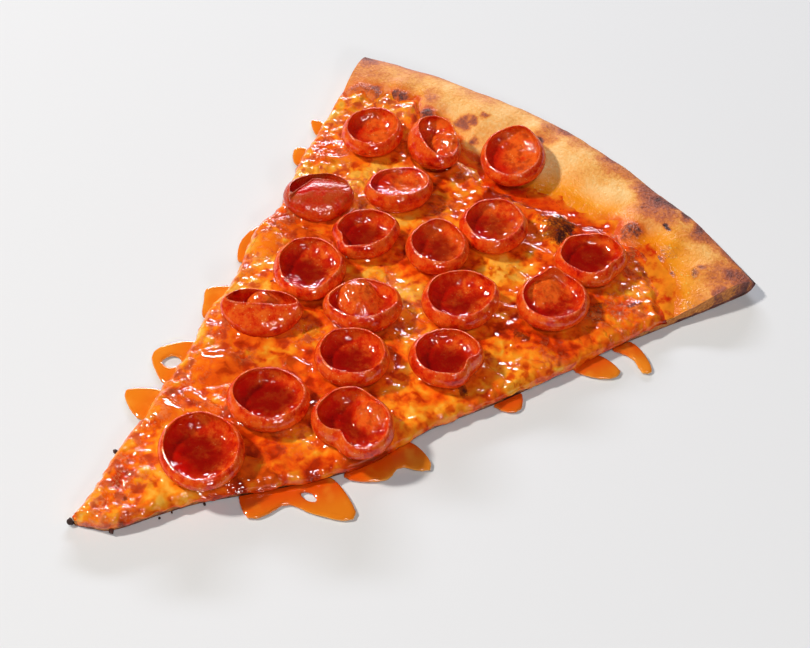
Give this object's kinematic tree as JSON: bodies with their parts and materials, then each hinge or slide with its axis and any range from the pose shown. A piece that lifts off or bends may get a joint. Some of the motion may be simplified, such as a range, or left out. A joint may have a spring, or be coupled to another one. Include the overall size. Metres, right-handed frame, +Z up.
{
  "type": "pepperoni pizza slice",
  "caption": "Thin crust pizza slice with sauce, melted cheese, curled pepperoni cups and a drizzle of honey that pools beside its cut edges, lying flat.",
  "frame": {"origin": "on the surface that the slice lies on, under the middle of its bounding box", "axes": "+Y from the tip to the crust, +Z up, +X to the right as seen from above with the tip towards the viewer"},
  "size_m": [0.1844, 0.2448, 0.0198],
  "materials": {
    "dough": "baked bread crust, creamy gold with toasted brown and charred spots, floury matte",
    "sauce": "cooked tomato sauce with oil, moist satin",
    "cheese": "melted cheese, golden yellow with orange oil and dark red freckles, wet gloss",
    "pepperoni": "cured sausage, deep orange red with pale thin lips, oily gloss",
    "honey": "clear amber honey, wet high gloss"
  },
  "bodies": {
    "root": {"dough": "dough", "sauce": "sauce", "cheese": "cheese", "pepperoni_01": "pepperoni", "pepperoni_02": "pepperoni", "pepperoni_03": "pepperoni", "pepperoni_04": "pepperoni", "pepperoni_05": "pepperoni", "pepperoni_06": "pepperoni", "pepperoni_07": "pepperoni", "pepperoni_08": "pepperoni", "pepperoni_09": "pepperoni", "pepperoni_10": "pepperoni", "pepperoni_11": "pepperoni", "pepperoni_12": "pepperoni", "pepperoni_13": "pepperoni", "pepperoni_14": "pepperoni", "pepperoni_15": "pepperoni", "pepperoni_16": "pepperoni", "pepperoni_17": "pepperoni", "pepperoni_18": "pepperoni", "pepperoni_19": "pepperoni", "honey_01": "honey", "honey_02": "honey", "honey_03": "honey", "honey_04": "honey", "honey_05": "honey", "honey_06": "honey", "honey_07": "honey", "honey_08": "honey", "honey_09": "honey", "honey_10": "honey", "honey_11": "honey"}
  },
  "joints": []
}
